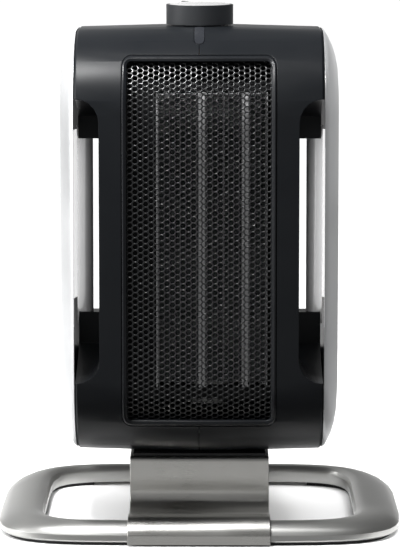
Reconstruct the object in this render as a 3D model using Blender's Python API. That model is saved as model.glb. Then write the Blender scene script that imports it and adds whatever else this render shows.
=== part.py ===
"""Ceramic space heater on a strap pedestal and an open ring base. Metres, +Z up, the outlet grille faces -Y."""

import math

import bmesh
import bpy
from mathutils import Vector

# Clearances between pieces
GAP = 0.0003
RUNNING_CLEARANCE = 0.00005
SCREW_CLEARANCE = 0.0003

# Body: two half shells that meet on the plane x = 0
HALF_WIDTH = 0.085
BODY_HALF_DEPTH = 0.074
CORNER_RADIUS = 0.055
BODY_BOTTOM = 0.0514
BODY_TOP = 0.345
KEEL = 0.0023
EDGE_BEVEL = 0.0013
WALL = 0.0025
ARC_STEPS = 9
EDGE_X = HALF_WIDTH - 0.0016
FLAT_HALF = BODY_HALF_DEPTH - CORNER_RADIUS
TOP_CENTRE_Z = BODY_TOP - CORNER_RADIUS
BOTTOM_CENTRE_Z = BODY_BOTTOM + CORNER_RADIUS
CAVITY_X = HALF_WIDTH - WALL
FRONT_Y = -BODY_HALF_DEPTH

# Side scoops and the window between them, with the polished rail in it
NOTCH_WIDTH = 0.017
NOTCH_LOW = 0.1061
NOTCH_HIGH = BODY_TOP - 0.0442
NOTCH_CORNER = 0.016
SCOOP_RISE = 0.017
WEB_HALF = 0.008
WINDOW_LOW = 0.1451
WINDOW_HIGH = BODY_TOP - 0.0771
NOTCH_X = HALF_WIDTH - NOTCH_WIDTH
NARROW_X = NOTCH_X - WALL
RAIL_RADIUS = 0.0057
RAIL_X = HALF_WIDTH - 0.0043
RAIL_ENGAGEMENT = 0.009

# Side covers
COVER_HEIGHT = 0.0110
COVER_WALL = 0.0020

# Outlet grille
BEZEL_HALF_WIDTH = 0.0526
BEZEL_LOW = 0.0752
BEZEL_HIGH = BODY_TOP - 0.0154
BEZEL_CORNER = 0.007
BEZEL_SIDE = 0.0036
BEZEL_END = 0.0044
BEZEL_PROUD = 0.0004
FLANGE = 0.004
FLANGE_THICKNESS = 0.0015
MESH_THICKNESS = 0.0012
FLANGE_INSET = WALL + GAP
MESH_INSET = FLANGE_INSET + FLANGE_THICKNESS + GAP

# Intake grille at the back
INTAKE_HALF_WIDTH = 0.046
INTAKE_LOW = 0.122
INTAKE_HIGH = BODY_TOP - 0.063
INTAKE_SLOTS = 18
SLOT_HEIGHT = 0.0048
SLOT_INNER_X = 0.0035
SLOT_OUTER_X = 0.0410

# Heating element
ELEMENT_LEFT = -0.0293
ELEMENT_RIGHT = 0.0466
ELEMENT_LOW = 0.1017
ELEMENT_HIGH = BODY_TOP - 0.0363
ELEMENT_FRONT = FRONT_Y + 0.010
ELEMENT_DEPTH = 0.014
BAR_WIDTH = 0.0038
SIDE_PLATE = 0.0010
BAR_CENTRES = (0.0018, 0.0314)
PACK_BREAKS = (-0.0129, 0.0169)
ELEMENT_BACK = ELEMENT_FRONT + ELEMENT_DEPTH
BULKHEAD_BACK = ELEMENT_BACK - 0.002
BULKHEAD_THICKNESS = 0.002

# Tangential fan
FAN_X = 0.008
FAN_Y = -0.005
FAN_RADIUS = 0.026
FAN_LOW = 0.1160
FAN_HIGH = BODY_TOP - 0.0505
FAN_BLADES = 12
SHAFT_RADIUS = 0.002
DECK_LOW = 0.110
DECK_HIGH = BODY_TOP - 0.047
DECK_THICKNESS = 0.0025
MOTOR_RADIUS = 0.025
MOTOR_LOW = 0.084
MOTOR_HEIGHT = 0.021

# Control knob
KNOB_RADIUS = 0.0234
KNOB_HEIGHT = 0.0138
KNOB_LOW = BODY_TOP + 0.0027
KNOB_HIGH = KNOB_LOW + KNOB_HEIGHT
KNOB_WALL = 0.0022
CAP_RISE = 0.0018
SPINDLE_RADIUS = 0.003
BUSHING_RADIUS = 0.0045
POINTER_ANGLE = 130.0

# Pedestal strap
STRAP_HALF_WIDTH = 0.0484
STRAP_THICKNESS = 0.002
STRAP_WEB_Y = 0.038
STRAP_FOOT_Z = 0.0132
STRAP_TOP_Z = 0.047
STRAP_BEND = 0.014
SADDLE_HALF_X = STRAP_HALF_WIDTH - 0.0024
SADDLE_HALF_Y = 0.0365
SADDLE_TOP = 0.0499
PEDESTAL_SCREW_X = 0.030

# Base ring
RING_HALF_X = 0.1396
RING_HALF_Y = 0.1020
RING_SIDE_RAIL = 0.0315
RING_END_RAIL = 0.0170
RING_LOW = 0.0024
RING_STATIONS = 40
RING_FRONT_POWER = 5.2
RING_REAR_POWER = 4.2
RING_INNER_POWER = 6.0
STUD_X = 0.030
STUD_RADIUS = 0.002
STUD_Y = RING_HALF_Y - RING_END_RAIL / 2

for leftover in list(bpy.data.objects):
    bpy.data.objects.remove(leftover)

heater = bpy.data.collections.new("ceramic_space_heater")
bpy.context.scene.collection.children.link(heater)


def make_material(name, colour, roughness, metallic=0.0):
    material = bpy.data.materials.new(name)
    material.use_nodes = True
    shader = material.node_tree.nodes["Principled BSDF"]
    shader.inputs["Base Color"].default_value = (*colour, 1.0)
    shader.inputs["Roughness"].default_value = roughness
    shader.inputs["Metallic"].default_value = metallic
    return material


BLACK_SATIN = make_material("black_satin_plastic", (0.018, 0.020, 0.023), 0.42)
SILVER_PAINT = make_material("silver_paint", (0.66, 0.66, 0.65), 0.38, 0.6)
POLISHED = make_material("polished_steel", (0.78, 0.78, 0.79), 0.10, 1.0)
BRUSHED = make_material("brushed_steel", (0.62, 0.61, 0.59), 0.30, 1.0)
SATIN_CAST = make_material("satin_cast_aluminium", (0.63, 0.63, 0.61), 0.34, 1.0)
RUBBER = make_material("black_rubber", (0.012, 0.012, 0.013), 0.85)
BLACK_METAL = make_material("black_painted_metal", (0.010, 0.011, 0.012), 0.35, 0.4)
FIN_METAL = make_material("aluminium_fins", (0.30, 0.30, 0.31), 0.45, 1.0)
BAR_METAL = make_material("contact_bar_aluminium", (0.60, 0.60, 0.60), 0.40, 1.0)
INSULATOR = make_material("insulator_plastic", (0.04, 0.04, 0.042), 0.60)
ZINC = make_material("zinc_plated_steel", (0.55, 0.55, 0.56), 0.40, 1.0)
LENS = make_material("clear_lens", (0.75, 0.76, 0.78), 0.12)
LAMP = make_material("lamp_glass", (0.85, 0.35, 0.15), 0.20)
FILTER = make_material("filter_mesh", (0.05, 0.05, 0.055), 0.80)
CAP_SILVER = make_material("knob_cap_silver", (0.80, 0.80, 0.80), 0.30, 0.8)
BRASS = make_material("sintered_bronze", (0.55, 0.38, 0.20), 0.45, 1.0)


def add_object(name, mesh, material, location=(0.0, 0.0, 0.0)):
    body = bpy.data.objects.new(name, mesh)
    body.location = location
    heater.objects.link(body)
    if material is not None:
        mesh.materials.append(material)
    return body


def loft(name, rings, material=None, location=(0.0, 0.0, 0.0), closed=False):
    """A solid through rings of equal point count: end caps on an open row, none on a closed loop."""
    form = bmesh.new()
    rows = []
    for ring in rings:
        rows.append([form.verts.new(point) for point in ring])
    pairs = list(zip(rows, rows[1:]))
    if closed:
        pairs.append((rows[-1], rows[0]))
    for row, after in pairs:
        for i in range(len(row)):
            j = (i + 1) % len(row)
            form.faces.new((row[i], row[j], after[j], after[i]))
    if not closed:
        form.faces.new(rows[0])
        form.faces.new(rows[-1])
    bmesh.ops.recalc_face_normals(form, faces=form.faces)
    mesh = bpy.data.meshes.new(name)
    form.to_mesh(mesh)
    form.free()
    return add_object(name, mesh, material, location)


def prism(name, outline, axis, low, high, material=None, location=(0.0, 0.0, 0.0)):
    """An outline pushed along one axis. Its two coordinates are the other axes, in X, Y, Z order."""
    rings = []
    for level in (low, high):
        ring = []
        for first, second in outline:
            if axis == "X":
                ring.append(Vector((level, first, second)))
            elif axis == "Y":
                ring.append(Vector((first, level, second)))
            else:
                ring.append(Vector((first, second, level)))
        rings.append(ring)
    return loft(name, rings, material, location)


def box(name, low, high, material=None):
    """A block between two corners, with its origin in its middle."""
    middle = (Vector(low) + Vector(high)) / 2
    reach = (Vector(high) - Vector(low)) / 2
    outline = [
        (-reach.x, -reach.y),
        (reach.x, -reach.y),
        (reach.x, reach.y),
        (-reach.x, reach.y),
    ]
    return prism(name, outline, "Z", -reach.z, reach.z, material, middle)


def circle(radius, steps, centre=(0.0, 0.0)):
    points = []
    for i in range(steps):
        angle = 2 * math.pi * i / steps
        points.append((centre[0] + radius * math.cos(angle), centre[1] + radius * math.sin(angle)))
    return points


def rod(name, radius, axis, low, high, centre, material=None, steps=16):
    """A cylinder along one axis. Its centre gives the other two coordinates, and is its origin there."""
    if axis == "X":
        location = (0.0, centre[0], centre[1])
    elif axis == "Y":
        location = (centre[0], 0.0, centre[1])
    else:
        location = (centre[0], centre[1], 0.0)
    return prism(name, circle(radius, steps), axis, low, high, material, location)


def rounded_rectangle(left, right, low, high, radius, steps=4):
    points = []
    corners = (
        (right - radius, high - radius, 0),
        (left + radius, high - radius, 90),
        (left + radius, low + radius, 180),
        (right - radius, low + radius, 270),
    )
    for x, z, start in corners:
        for i in range(steps + 1):
            angle = math.radians(start + 90 * i / steps)
            points.append((x + radius * math.cos(angle), z + radius * math.sin(angle)))
    return points


def combine(target, tools, operation="DIFFERENCE"):
    """Applies Booleans to the target and removes the tools."""
    for tool in tools:
        modifier = target.modifiers.new("shape", "BOOLEAN")
        modifier.operation = operation
        modifier.solver = "EXACT"
        modifier.object = tool
        bpy.context.view_layer.update()
        graph = bpy.context.evaluated_depsgraph_get()
        before = target.data
        shaped = bpy.data.meshes.new_from_object(target.evaluated_get(graph))
        target.modifiers.clear()
        target.data = shaped
        bpy.data.meshes.remove(before)
        bpy.data.objects.remove(tool)
    return target


def fuse(target, tools):
    return combine(target, tools, "UNION")


def keep_common(target, tools):
    return combine(target, tools, "INTERSECT")


def set_material(body, material):
    body.data.materials.clear()
    body.data.materials.append(material)


def body_outline(inset, x):
    """The body's outline in (y, z) at a station x. It grows towards the seam, as moulding draft leaves it."""
    radius = CORNER_RADIUS + KEEL * (1 - abs(x) / EDGE_X) - inset
    corners = (
        (FLAT_HALF, TOP_CENTRE_Z, 0),
        (-FLAT_HALF, TOP_CENTRE_Z, 90),
        (-FLAT_HALF, BOTTOM_CENTRE_Z, 180),
        (FLAT_HALF, BOTTOM_CENTRE_Z, 270),
    )
    points = []
    for y, z, start in corners:
        for i in range(ARC_STEPS + 1):
            angle = math.radians(start + 90 * i / ARC_STEPS)
            points.append(Vector((x, y + radius * math.cos(angle), z + radius * math.sin(angle))))
    return points


def body_solid(name, stations):
    return loft(name, [body_outline(inset, x) for inset, x in stations])


def body_band(name, outer_inset, inner_inset):
    """The layer between two insets of the whole body outline."""
    outer = body_solid(name, [(outer_inset, -EDGE_X), (outer_inset, 0.0), (outer_inset, EDGE_X)])
    reach = EDGE_X + 0.001
    inner = body_solid(name + "_core", [(inner_inset, -reach), (inner_inset, 0.0), (inner_inset, reach)])
    return combine(outer, [inner])


def notch_cutters(side):
    """Front scoop, rear scoop and window of one side, and the seat of the rail."""
    outside = HALF_WIDTH + 0.015
    pieces = []
    for facing in (-1, 1):
        lower = []
        upper = []
        for i in range(5):
            share = i / 4
            y = facing * (BODY_HALF_DEPTH + (WEB_HALF - BODY_HALF_DEPTH) * share)
            lower.append((y, NOTCH_LOW + SCOOP_RISE * share ** 2))
            upper.append((y, NOTCH_HIGH - SCOOP_RISE * share ** 2))
        far = facing * (BODY_HALF_DEPTH + 0.016)
        outline = [(far, NOTCH_LOW - 0.001)] + lower + upper[::-1] + [(far, NOTCH_HIGH + 0.001)]
        low, high = sorted((side * (NOTCH_X - 0.001), side * outside))
        scoop = prism("scoop", outline, "X", low, high)
        face = []
        for z, start in ((NOTCH_LOW + NOTCH_CORNER, 270), (NOTCH_HIGH - NOTCH_CORNER, 180)):
            for i in range(6):
                angle = math.radians(start - 90 * i / 5)
                x = NOTCH_X + NOTCH_CORNER + NOTCH_CORNER * math.cos(angle)
                face.append((side * x, z + NOTCH_CORNER * math.sin(angle)))
        face.append((side * (outside + 0.001), NOTCH_HIGH))
        face.append((side * (outside + 0.001), NOTCH_LOW))
        low, high = sorted((facing * WEB_HALF / 2, facing * (BODY_HALF_DEPTH + 0.030)))
        keep_common(scoop, [prism("face", face, "Y", low, high)])
        pieces.append(scoop)
    low, high = sorted((side * NOTCH_X, side * outside))
    reach = WEB_HALF + 0.004
    pieces.append(box("window", (low, -reach, WINDOW_LOW), (high, reach, WINDOW_HIGH)))
    seat_low = WINDOW_LOW - RAIL_ENGAGEMENT - GAP
    seat_high = WINDOW_HIGH + RAIL_ENGAGEMENT + GAP
    pieces.append(rod("seat", RAIL_RADIUS + GAP, "Z", seat_low, seat_high, (side * RAIL_X, 0.0)))
    return pieces


BOSS_Y = 0.040
BOSS_TOP_Z = BODY_TOP - 0.023
BOSS_BOTTOM_Z = 0.072
BOSS_RADIUS = 0.0045
SCREW_RADIUS = 0.0015
SCREW_HEAD_RADIUS = 0.003
SCREW_HEAD_X = 0.060
SCREW_END_X = 0.014
GLAND_Z = 0.099
GLAND_RADIUS = 0.006
LENS_HALF_WIDTH = 0.0034
LENS_FRONT_Y = -0.0519
LENS_BACK_Y = -0.0245
COVER_PEG_Y = 0.046
COVER_PEG_Z = (BODY_BOTTOM + 0.0286, BODY_TOP - 0.029)
COVER_PEG_RADIUS = 0.0025
BOSSES = [(y, z) for y in (-BOSS_Y, BOSS_Y) for z in (BOSS_BOTTOM_Z, BOSS_TOP_Z)]


def lens_outline(grow):
    """Plan outline of the lens, a slot with round ends."""
    radius = LENS_HALF_WIDTH + grow
    points = []
    for y, start in ((LENS_BACK_Y - LENS_HALF_WIDTH, 0), (LENS_FRONT_Y + LENS_HALF_WIDTH, 180)):
        for i in range(5):
            angle = math.radians(start + 180 * i / 4)
            points.append((radius * math.cos(angle), y + radius * math.sin(angle)))
    return points


def half_shell(name, side):
    seam = side * GAP / 2
    shell = body_solid(name, [(0.0, seam), (0.0, side * EDGE_X), (EDGE_BEVEL, side * HALF_WIDTH)])
    cavity = body_solid("cavity", [(WALL, -side * 0.001), (WALL, side * CAVITY_X)])
    low, high = sorted((side * NARROW_X, side * (HALF_WIDTH + 0.005)))
    thick = box("thick", (low, -0.09, NOTCH_LOW - WALL), (high, 0.09, NOTCH_HIGH + WALL))
    combine(cavity, [thick])
    combine(shell, [cavity])
    combine(shell, notch_cutters(side))
    low, high = sorted((side * (CAVITY_X + 0.0005), seam))
    bosses = [rod("boss", BOSS_RADIUS, "X", low, high, (y, z), steps=10) for y, z in BOSSES]
    fuse(shell, bosses)
    grow = GAP
    width = BEZEL_HALF_WIDTH + grow
    opening = rounded_rectangle(-width, width, BEZEL_LOW - grow, BEZEL_HIGH + grow, BEZEL_CORNER + grow)
    openings = [prism("outlet", opening, "Y", -0.090, -0.049)]
    width = INTAKE_HALF_WIDTH + grow
    opening = rounded_rectangle(-width, width, INTAKE_LOW - grow, INTAKE_HIGH + grow, 0.005)
    openings.append(prism("intake", opening, "Y", 0.060, 0.090))
    low, high = BODY_TOP - 0.015, BODY_TOP + 0.015
    openings.append(rod("bushing_hole", BUSHING_RADIUS + GAP, "Z", low, high, (0.0, 0.0)))
    openings.append(prism("lens_slot", lens_outline(GAP), "Z", BODY_TOP - 0.018, BODY_TOP + 0.015))
    openings.append(rod("gland_hole", GLAND_RADIUS + GAP, "Y", 0.060, 0.090, (0.0, GLAND_Z), steps=12))
    reach_x = SADDLE_HALF_X + GAP
    reach_y = SADDLE_HALF_Y + GAP
    openings.append(box("saddle_seat", (-reach_x, -reach_y, 0.040), (reach_x, reach_y, SADDLE_TOP + GAP)))
    hole = 0.002 + SCREW_CLEARANCE
    for x in (-PEDESTAL_SCREW_X, PEDESTAL_SCREW_X):
        openings.append(rod("pedestal_hole", hole, "Z", 0.040, 0.060, (x, 0.0), steps=10))
    for y in (-COVER_PEG_Y, COVER_PEG_Y):
        for z in COVER_PEG_Z:
            low, high = sorted((side * (CAVITY_X - 0.0125), side * (HALF_WIDTH + 0.010)))
            openings.append(rod("peg_hole", COVER_PEG_RADIUS + GAP, "X", low, high, (y, z), steps=8))
    for y, z in BOSSES:
        if side < 0:
            openings.append(rod("bore", SCREW_RADIUS + GAP, "X", 0.015 - HALF_WIDTH, 0.010, (y, z), steps=8))
            head_low = -SCREW_HEAD_X - GAP
            low, high = -0.015 - HALF_WIDTH, head_low + 0.002
            openings.append(rod("sink", SCREW_HEAD_RADIUS + GAP, "X", low, high, (y, z), steps=10))
        else:
            openings.append(rod("pilot", SCREW_RADIUS + GAP / 2, "X", -0.010, SCREW_END_X + 0.002, (y, z), steps=8))
    combine(shell, openings)
    set_material(shell, BLACK_SATIN)
    return shell


def side_cover(name, side):
    """A dished cover. Each pair is how far in from the body outline and the share of the full height."""
    outer = (
        (0.0360, 1.00),
        (0.0250, 0.93),
        (0.0170, 0.79),
        (0.0105, 0.59),
        (0.0055, 0.37),
        (0.0022, 0.19),
        (0.0007, 0.00),
    )
    rim_x = HALF_WIDTH + GAP
    rings = []
    for inset, share in outer:
        rings.append((inset, rim_x + share * (COVER_HEIGHT - GAP)))
    rings.append((0.0007 + COVER_WALL, rim_x))
    rings.append((0.0130, HALF_WIDTH + 0.66 * COVER_HEIGHT - COVER_WALL))
    rings.append((0.0350, HALF_WIDTH + COVER_HEIGHT - COVER_WALL))
    sections = []
    for inset, x in rings:
        draft = KEEL * (1 - x / EDGE_X)
        ring = body_outline(inset + draft, x)
        sections.append([Vector((side * point.x, point.y, point.z)) for point in ring])
    cover = loft(name, sections)
    pegs = []
    for y in (-COVER_PEG_Y, COVER_PEG_Y):
        for z in COVER_PEG_Z:
            low, high = sorted((side * (CAVITY_X - 0.001), side * (HALF_WIDTH + 0.64 * COVER_HEIGHT)))
            pegs.append(rod("peg", COVER_PEG_RADIUS, "X", low, high, (y, z), steps=8))
    fuse(cover, pegs)
    set_material(cover, SILVER_PAINT)
    return cover


def grab_rail(name, side):
    low = WINDOW_LOW - RAIL_ENGAGEMENT
    high = WINDOW_HIGH + RAIL_ENGAGEMENT
    return rod(name, RAIL_RADIUS, "Z", low, high, (side * RAIL_X, 0.0), POLISHED, steps=20)


half_shell("half_shell_left", -1)
half_shell("half_shell_right", 1)
side_cover("side_cover_left", -1)
side_cover("side_cover_right", 1)
grab_rail("grab_rail_left", -1)
grab_rail("grab_rail_right", 1)

for index, (y, z) in enumerate(BOSSES):
    shank = rod("shell_screw_%d" % (index + 1), SCREW_RADIUS, "X", -SCREW_HEAD_X, SCREW_END_X, (y, z), steps=8)
    head = rod("head", SCREW_HEAD_RADIUS, "X", -SCREW_HEAD_X - 0.002, -SCREW_HEAD_X + 0.0005, (y, z), steps=10)
    fuse(shank, [head])
    set_material(shank, ZINC)

# Outlet bezel: a moulded frame that stands just proud, with a flange behind the shell
inner_width = BEZEL_HALF_WIDTH - BEZEL_SIDE
inner_low = BEZEL_LOW + BEZEL_END
inner_high = BEZEL_HIGH - BEZEL_END
bezel = prism(
    "grille_bezel",
    rounded_rectangle(-BEZEL_HALF_WIDTH, BEZEL_HALF_WIDTH, BEZEL_LOW, BEZEL_HIGH, BEZEL_CORNER),
    "Y",
    -0.090,
    -0.030,
)
keep_common(bezel, [body_band("face_band", -BEZEL_PROUD, FLANGE_INSET + FLANGE_THICKNESS)])
flange_width = BEZEL_HALF_WIDTH + FLANGE
flange = prism(
    "flange",
    rounded_rectangle(-flange_width, flange_width, BEZEL_LOW - FLANGE, BEZEL_HIGH + FLANGE, BEZEL_CORNER + FLANGE),
    "Y",
    -0.090,
    -0.030,
)
keep_common(flange, [body_band("flange_band", FLANGE_INSET, FLANGE_INSET + FLANGE_THICKNESS)])
fuse(bezel, [flange])
bezel_hole = rounded_rectangle(-inner_width, inner_width, inner_low, inner_high, 0.004)
combine(bezel, [prism("bezel_hole", bezel_hole, "Y", -0.095, -0.025)])
set_material(bezel, BLACK_SATIN)

# Outlet grille: one curved sheet behind the bezel
mesh_width = BEZEL_HALF_WIDTH + 0.0014
front_grille = prism(
    "front_grille",
    rounded_rectangle(-mesh_width, mesh_width, BEZEL_LOW - 0.0014, BEZEL_HIGH + 0.0014, 0.006, 2),
    "Y",
    -0.090,
    -0.030,
)
keep_common(front_grille, [body_band("mesh_band", MESH_INSET, MESH_INSET + MESH_THICKNESS)])
set_material(front_grille, BLACK_METAL)

# Intake grille with two columns of slots, and the dust filter behind it
rear_grille = prism(
    "rear_intake_grille",
    rounded_rectangle(-INTAKE_HALF_WIDTH, INTAKE_HALF_WIDTH, INTAKE_LOW, INTAKE_HIGH, 0.005 - GAP, 3),
    "Y",
    0.060,
    0.090,
)
keep_common(rear_grille, [body_band("intake_band", -0.0002, 0.0022)])
slot_pitch = (INTAKE_HIGH - INTAKE_LOW - 0.006) / INTAKE_SLOTS
slots = []
for row in range(INTAKE_SLOTS):
    low_z = INTAKE_LOW + 0.003 + slot_pitch * (row + 0.5) - SLOT_HEIGHT / 2
    for side in (-1, 1):
        low, high = sorted((side * SLOT_INNER_X, side * SLOT_OUTER_X))
        slots.append(box("slot", (low, 0.060, low_z), (high, 0.090, low_z + SLOT_HEIGHT)))
combine(rear_grille, slots)
set_material(rear_grille, BLACK_SATIN)
filter_reach = INTAKE_HALF_WIDTH + 0.003
filter_front = BODY_HALF_DEPTH - WALL - 0.0012
box(
    "dust_filter",
    (-filter_reach, filter_front, INTAKE_LOW - 0.003),
    (filter_reach, filter_front + 0.001, INTAKE_HIGH + 0.003),
    FILTER,
)

# Indicator on the seam
lens = prism("indicator_lens", lens_outline(0.0), "Z", BODY_TOP - 0.025, BODY_TOP + 0.015)
keep_common(lens, [body_band("lens_band", -0.0003, 0.0024)])
set_material(lens, LENS)
rod("indicator_lamp", 0.0024, "Z", BODY_TOP - 0.0165, BODY_TOP - 0.0065, (0.0, -0.035), LAMP, steps=12)

# Heating element: fin packs between contact bars, in a bulkhead
edges = [ELEMENT_LEFT, PACK_BREAKS[0], BAR_CENTRES[0], PACK_BREAKS[1], BAR_CENTRES[1], ELEMENT_RIGHT]
half_bar = BAR_WIDTH / 2
pack_low = ELEMENT_LOW + 0.004
pack_high = ELEMENT_HIGH - 0.004
for index in range(5):
    left = edges[index] + (half_bar + GAP if edges[index] in BAR_CENTRES else GAP / 2)
    right = edges[index + 1] - (half_bar + GAP if edges[index + 1] in BAR_CENTRES else GAP / 2)
    if index == 0:
        left = ELEMENT_LEFT + SIDE_PLATE + GAP
    if index == 4:
        right = ELEMENT_RIGHT - SIDE_PLATE - GAP
    box(
        "fin_pack_%d" % (index + 1),
        (left, ELEMENT_FRONT, pack_low),
        (right, ELEMENT_BACK, pack_high),
        FIN_METAL,
    )
for index, centre in enumerate(BAR_CENTRES):
    box(
        "contact_bar_%d" % (index + 1),
        (centre - half_bar, ELEMENT_FRONT - 0.0005, ELEMENT_LOW + GAP),
        (centre + half_bar, ELEMENT_BACK, pack_high),
        BAR_METAL,
    )
side_low = ELEMENT_LOW + GAP
for name, left in (("element_side_left", ELEMENT_LEFT), ("element_side_right", ELEMENT_RIGHT - SIDE_PLATE)):
    box(name, (left, ELEMENT_FRONT, side_low), (left + SIDE_PLATE, ELEMENT_BACK, pack_high), BAR_METAL)
cap_left = ELEMENT_LEFT - 0.002
cap_right = ELEMENT_RIGHT + 0.002
box(
    "element_cap_top",
    (cap_left, ELEMENT_FRONT + 0.003, pack_high + GAP),
    (cap_right, BULKHEAD_BACK - BULKHEAD_THICKNESS - GAP, ELEMENT_HIGH + 0.002),
    INSULATOR,
)
box(
    "element_cap_bottom",
    (cap_left, ELEMENT_FRONT + 0.003, ELEMENT_LOW - 0.006),
    (cap_right, BULKHEAD_BACK - BULKHEAD_THICKNESS - GAP, ELEMENT_LOW),
    INSULATOR,
)
bulkhead_x = NARROW_X - GAP
bulkhead = box(
    "element_bulkhead",
    (-bulkhead_x, BULKHEAD_BACK - BULKHEAD_THICKNESS, 0.092),
    (bulkhead_x, BULKHEAD_BACK, ELEMENT_HIGH + 0.0033),
)
combine(
    bulkhead,
    [
        box(
            "element_hole",
            (ELEMENT_LEFT - GAP, -0.080, ELEMENT_LOW),
            (ELEMENT_RIGHT + GAP, -0.040, pack_high + GAP),
        )
    ],
)
set_material(bulkhead, INSULATOR)

# Fan cradle: lower deck with the scroll wall and the tongue, and the upper deck
deck_x = NARROW_X - GAP
deck_back = BODY_HALF_DEPTH - WALL - 0.0017
deck_front = ELEMENT_BACK + 0.001


def wall_outline(path, thickness):
    """A path widened to both sides by half the thickness."""
    left = []
    right = []
    for i, point in enumerate(path):
        before = Vector(path[max(i - 1, 0)])
        after = Vector(path[min(i + 1, len(path) - 1)])
        along = (after - before).normalized()
        across = Vector((-along.y, along.x)) * thickness / 2
        left.append((point[0] + across.x, point[1] + across.y))
        right.append((point[0] - across.x, point[1] - across.y))
    return left + right[::-1]


cradle = box("fan_cradle", (-deck_x, deck_front, DECK_LOW), (deck_x, deck_back, DECK_LOW + DECK_THICKNESS))
SCROLL = ((0.0485, -0.0485), (0.0460, -0.0350), (0.0420, -0.0150), (0.0400, 0.0010), (0.0360, 0.0140), (0.0280, 0.0250))
TONGUE = ((-0.0310, -0.0485), (-0.0290, -0.0390), (-0.0245, -0.0300), (-0.0215, -0.0240))
wall_low = DECK_LOW + DECK_THICKNESS / 2
fuse(
    cradle,
    [
        prism("scroll", wall_outline(SCROLL, 0.002), "Z", wall_low, DECK_HIGH - GAP),
        prism("tongue", wall_outline(TONGUE, 0.002), "Z", wall_low, DECK_HIGH - GAP),
    ],
)
combine(cradle, [rod("shaft_hole", 0.006, "Z", 0.100, 0.120, (FAN_X, FAN_Y), steps=12)])
set_material(cradle, INSULATOR)
upper_deck = box(
    "fan_upper_deck",
    (-deck_x, deck_front, DECK_HIGH),
    (deck_x, deck_back, DECK_HIGH + DECK_THICKNESS),
)
hole_low, hole_high = DECK_HIGH - 0.008, DECK_HIGH + 0.012
combine(upper_deck, [rod("bush_hole", 0.005 + GAP, "Z", hole_low, hole_high, (FAN_X, FAN_Y), steps=16)])
set_material(upper_deck, INSULATOR)
bush = rod("bearing_bush", 0.005, "Z", DECK_HIGH - 0.0015, DECK_HIGH + 0.0045, (FAN_X, FAN_Y), steps=16)
combine(bush, [rod("bore", SHAFT_RADIUS + RUNNING_CLEARANCE, "Z", hole_low, hole_high, (FAN_X, FAN_Y), steps=16)])
set_material(bush, BRASS)

# Motor under the lower deck, with three posts up to it
motor_high = MOTOR_LOW + MOTOR_HEIGHT
motor = rod("fan_motor", MOTOR_RADIUS, "Z", MOTOR_LOW, motor_high, (FAN_X, FAN_Y), steps=24)
posts = []
for index in range(3):
    angle = math.radians(90 + 120 * index)
    x = FAN_X + 0.020 * math.cos(angle)
    y = FAN_Y + 0.020 * math.sin(angle)
    posts.append(rod("post", 0.0025, "Z", motor_high - 0.001, DECK_LOW - GAP, (x, y), steps=8))
fuse(motor, posts)
bore_low = MOTOR_LOW + 0.006
combine(motor, [rod("bore", SHAFT_RADIUS + RUNNING_CLEARANCE, "Z", bore_low, 0.120, (FAN_X, FAN_Y), steps=16)])
set_material(motor, ZINC)

# Fan wheel, turning about the empty on its axis
fan_axis = bpy.data.objects.new("fan_axis", None)
fan_axis.location = (FAN_X, FAN_Y, FAN_LOW)
heater.objects.link(fan_axis)
wheel_height = FAN_HIGH - FAN_LOW
shaft_low = bore_low + GAP - FAN_LOW
shaft_high = DECK_HIGH + 0.006 - FAN_LOW
wheel = rod("fan_wheel", SHAFT_RADIUS, "Z", shaft_low, shaft_high, (0.0, 0.0), steps=16)
discs = []
for level in (0.0, wheel_height / 2, wheel_height - 0.0015):
    discs.append(rod("disc", FAN_RADIUS, "Z", level, level + 0.0015, (0.0, 0.0), steps=28))
fuse(wheel, discs)
blades = []
for index in range(FAN_BLADES):
    turn = 2 * math.pi * index / FAN_BLADES
    path = []
    for radius, lean in ((0.0185, 0.0), (0.0255, 0.16)):
        path.append((radius * math.cos(turn + lean), radius * math.sin(turn + lean)))
    blades.append(prism("blade", wall_outline(path, 0.0009), "Z", 0.0007, wheel_height - 0.0008))
fuse(wheel, blades)
set_material(wheel, BLACK_SATIN)
wheel.parent = fan_axis

# Safety parts and connections
cutout_z = ELEMENT_HIGH - 0.0587
rod("thermal_cutout", 0.007, "Y", BULKHEAD_BACK + GAP, BULKHEAD_BACK + 0.008, (-0.048, cutout_z), INSULATOR, steps=16)
fuse_y = ELEMENT_BACK + 0.0034
rod("thermal_fuse", 0.0022, "X", -0.012, 0.018, (fuse_y, ELEMENT_HIGH - 0.0187), INSULATOR, steps=10)
box("terminal_block", (0.048, -0.012, 0.0548), (0.074, 0.012, 0.0668), INSULATOR)
box("tip_over_switch", (-0.074, -0.012, 0.0548), (-0.048, 0.012, 0.0728), INSULATOR)
gland = rod("cord_gland", GLAND_RADIUS, "Y", 0.068, 0.0775, (0.0, GLAND_Z), steps=12)
fuse(gland, [rod("gland_flange", GLAND_RADIUS + 0.003, "Y", 0.0768, 0.0795, (0.0, GLAND_Z), steps=12)])
combine(gland, [rod("gland_bore", 0.0037, "Y", 0.060, 0.090, (0.0, GLAND_Z), steps=12)])
set_material(gland, RUBBER)

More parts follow.
